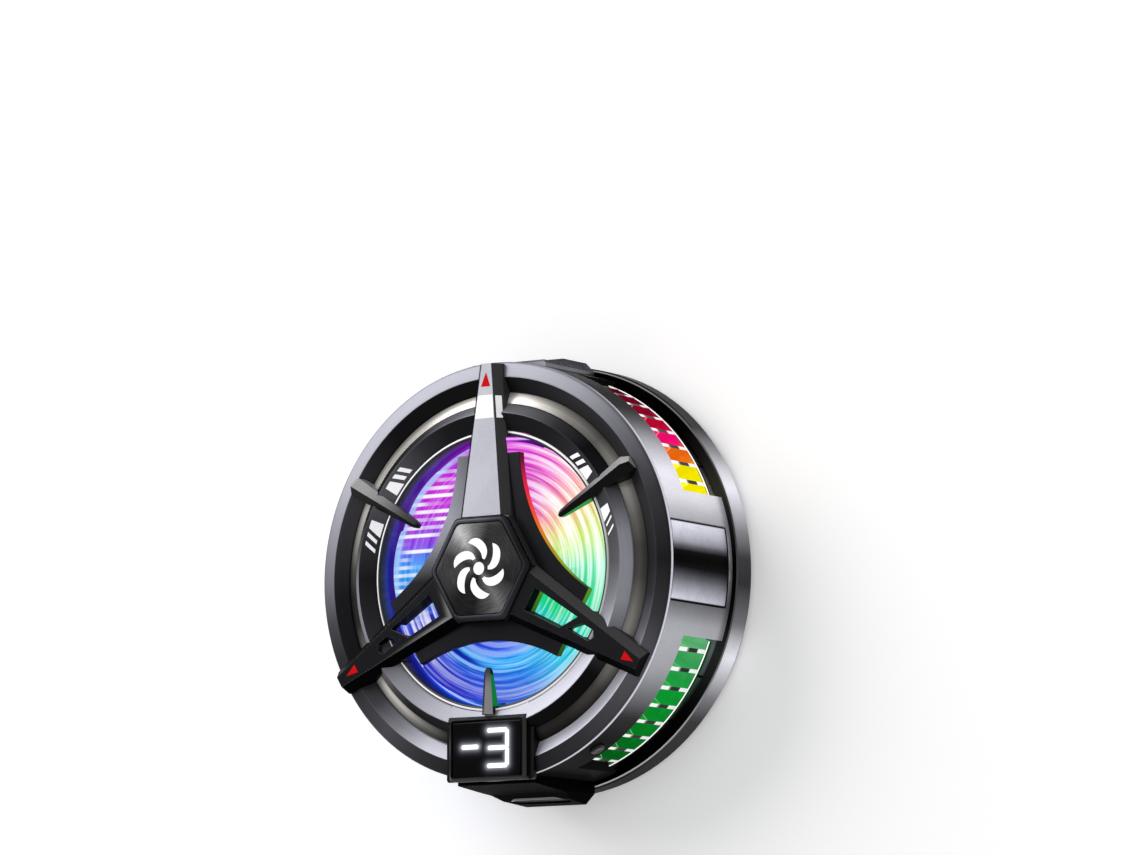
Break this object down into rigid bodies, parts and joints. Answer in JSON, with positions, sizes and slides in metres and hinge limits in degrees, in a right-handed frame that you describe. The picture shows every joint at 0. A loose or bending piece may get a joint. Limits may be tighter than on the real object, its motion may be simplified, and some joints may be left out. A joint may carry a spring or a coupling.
{
  "type": "phone cooling fan",
  "caption": "Round magnetic phone cooler with a guarded fan in front, side vents over a ring of folded fins, a cold plate behind, a small display and a charging socket.",
  "frame": {"origin": "centre of the flat rear contact face", "axes": "+Z out of the contact face towards the fan's front, +Y towards 12 o'clock, the display towards -Y, +X to the right seen from the front"},
  "size_m": [0.058, 0.0596, 0.0226],
  "materials": {
    "graphite_plastic": "satin graphite moulding",
    "front_ring": "satin gunmetal coat over plastic",
    "guard_black": "satin black moulding",
    "inner_black": "matt black",
    "panel_gloss": "mirror-gloss dark grey",
    "polished_trim": "polished silver",
    "hub_metal": "dark, brushed in circles",
    "light_guide": "milky light guide",
    "blade_plastic": "clear tinted blades lit by coloured lights",
    "lens_black": "piano black window",
    "contact_silicone": "soft matt silicone",
    "cold_aluminium": "fine brushed",
    "fin_aluminium": "bright sheet",
    "magnet_plated": "nickel plated",
    "ceramic": "white ceramic",
    "lead_red": "insulated wire",
    "foam": "closed-cell foam",
    "sensor_black": "epoxy bead",
    "board": "circuit board",
    "led_white": "lamp package",
    "steel": "plain steel",
    "bronze": "sintered bronze",
    "copper": "enamelled copper wire"
  },
  "bodies": {
    "housing": {"base_shell": "graphite_plastic", "barrel": "graphite_plastic", "top_bracket": "graphite_plastic", "bottom_bracket": "graphite_plastic", "display_housing": "graphite_plastic", "front_bezel": "front_ring", "inner_ring": "front_ring", "guard_plate": "guard_black", "star_arms": "guard_black", "guide_fins": "guard_black", "fan_frame": "inner_black", "button_switch": "inner_black", "usb_tongue": "inner_black", "display_module": "inner_black", "side_panel_right": "panel_gloss", "side_panel_left": "panel_gloss", "silver_trim": "polished_trim", "hub_cap": "hub_metal", "hub_face": "hub_metal", "light_ring": "light_guide", "display_lens": "lens_black", "contact_pad": "contact_silicone", "cold_plate": "cold_aluminium", "heat_sink": "fin_aluminium", "sink_fins": "fin_aluminium", "magnets": "magnet_plated", "peltier_module": "ceramic", "peltier_leads": "lead_red", "foam_gasket": "foam", "temperature_sensor": "sensor_black", "main_board": "board", "led_board": "board", "leds": "led_white", "usb_shell": "steel", "stator_core": "steel", "base_screws": "steel", "guard_screws": "steel", "hub_screw": "steel", "bearing_sleeve": "bronze", "stator_coils": "copper"},
    "rotor": {"fan_rotor": "blade_plastic", "rotor_yoke": "steel", "rotor_magnet": "magnet_plated", "rotor_shaft": "steel"},
    "button": {"mode_button": "inner_black"}
  },
  "joints": [
    {"name": "fan_spin", "type": "hinge", "parent": "housing", "child": "rotor", "pos_m": [0, 0, 0.0147], "axis": [0, 0, 1], "continuous": true},
    {"name": "mode_press", "type": "slide", "parent": "housing", "child": "button", "axis": [-0.515, 0.8572, 0], "range_m": [0, 0.0004], "stiffness_N_per_m": 500}
  ]
}
